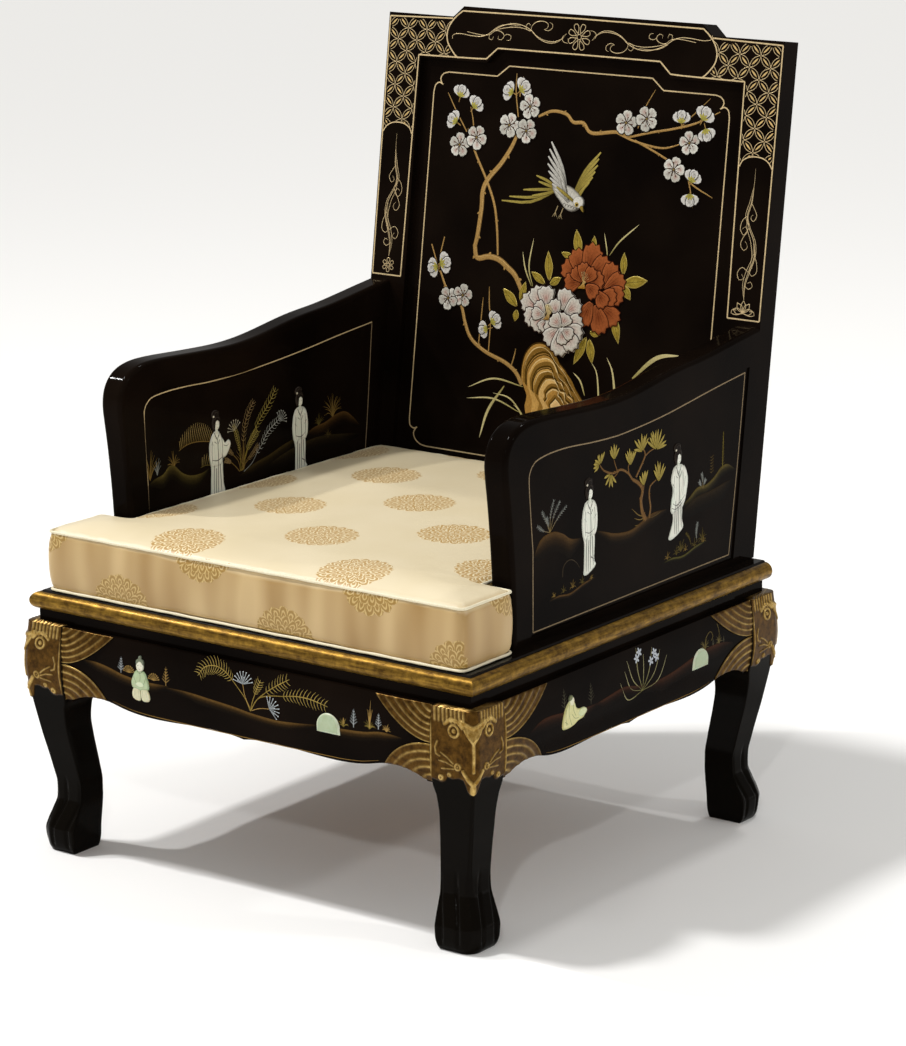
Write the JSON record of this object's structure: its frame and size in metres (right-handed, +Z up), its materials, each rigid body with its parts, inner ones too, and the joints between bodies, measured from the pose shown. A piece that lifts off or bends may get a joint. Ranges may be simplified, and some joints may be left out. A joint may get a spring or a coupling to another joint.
{
  "type": "armchair",
  "caption": "Black lacquered wooden armchair with a high raked back, panelled arms, cabriole legs and a loose box cushion on the seat.",
  "frame": {"origin": "on the floor under the middle of the chair's overall box", "axes": "+X to the right seen from the front and across the chair, +Y towards the back, +Z up"},
  "size_m": [0.6486, 0.7036, 0.94],
  "materials": {
    "black_lacquer_wood": "black lacquer over hardwood, high gloss",
    "gilt_lacquer_wood": "antique gold over carved hardwood, rubbed and varnished",
    "bare_wood": "plain sawn hardwood",
    "screw_steel": "zinc plated",
    "shell": "polished mother of pearl",
    "soapstone": "polished pale green and white soapstone",
    "brocade": "woven silk brocade with a satin sheen",
    "foam": "soft foam",
    "piping": "satin piping",
    "zip_tape": "woven nylon zip"
  },
  "bodies": {
    "chair": {"apron_front": "black_lacquer_wood", "apron_left": "black_lacquer_wood", "apron_rear": "black_lacquer_wood", "apron_right": "black_lacquer_wood", "arm_dowels": "bare_wood", "arm_foot_rail_left": "black_lacquer_wood", "arm_foot_rail_right": "black_lacquer_wood", "arm_front_post_left": "black_lacquer_wood", "arm_front_post_right": "black_lacquer_wood", "arm_panel_inner_left": "black_lacquer_wood", "arm_panel_inner_right": "black_lacquer_wood", "arm_panel_outer_left": "black_lacquer_wood", "arm_panel_outer_right": "black_lacquer_wood", "arm_rear_post_left": "black_lacquer_wood", "arm_rear_post_right": "black_lacquer_wood", "arm_top_rail_left": "black_lacquer_wood", "arm_top_rail_right": "black_lacquer_wood", "back_batten": "black_lacquer_wood", "back_bottom_rail": "black_lacquer_wood", "back_dowels": "bare_wood", "back_panel": "black_lacquer_wood", "back_stile_left": "black_lacquer_wood", "back_stile_right": "black_lacquer_wood", "corner_block_front_left": "bare_wood", "corner_block_front_right": "bare_wood", "corner_block_rear_left": "bare_wood", "corner_block_rear_right": "bare_wood", "corner_block_screws": "screw_steel", "crest_rail": "black_lacquer_wood", "leg_front_left": "gilt_lacquer_wood", "leg_front_right": "gilt_lacquer_wood", "leg_rear_left": "gilt_lacquer_wood", "leg_rear_right": "gilt_lacquer_wood", "seat_batten_left": "bare_wood", "seat_batten_right": "bare_wood", "seat_board": "black_lacquer_wood", "seat_rail_front": "gilt_lacquer_wood", "seat_rail_left": "gilt_lacquer_wood", "seat_rail_rear": "black_lacquer_wood", "seat_rail_right": "gilt_lacquer_wood", "shell_figures_inner_left": "shell", "shell_figures_inner_right": "shell", "shell_figures_outer_left": "shell", "shell_figures_outer_right": "shell", "stone_inlays_front": "soapstone", "stone_inlays_left": "soapstone", "stone_inlays_right": "soapstone", "waist_front": "black_lacquer_wood", "waist_left": "black_lacquer_wood", "waist_rear": "black_lacquer_wood", "waist_right": "black_lacquer_wood"},
    "cushion": {"cushion_cover": "brocade", "cushion_foam": "foam", "cushion_piping_bottom": "piping", "cushion_piping_top": "piping", "cushion_zip": "zip_tape"}
  },
  "joints": [
    {"name": "cushion_lift", "type": "slide", "parent": "chair", "child": "cushion", "axis": [0, -0.087, 0.9962], "range_m": [0, 0.3]}
  ]
}
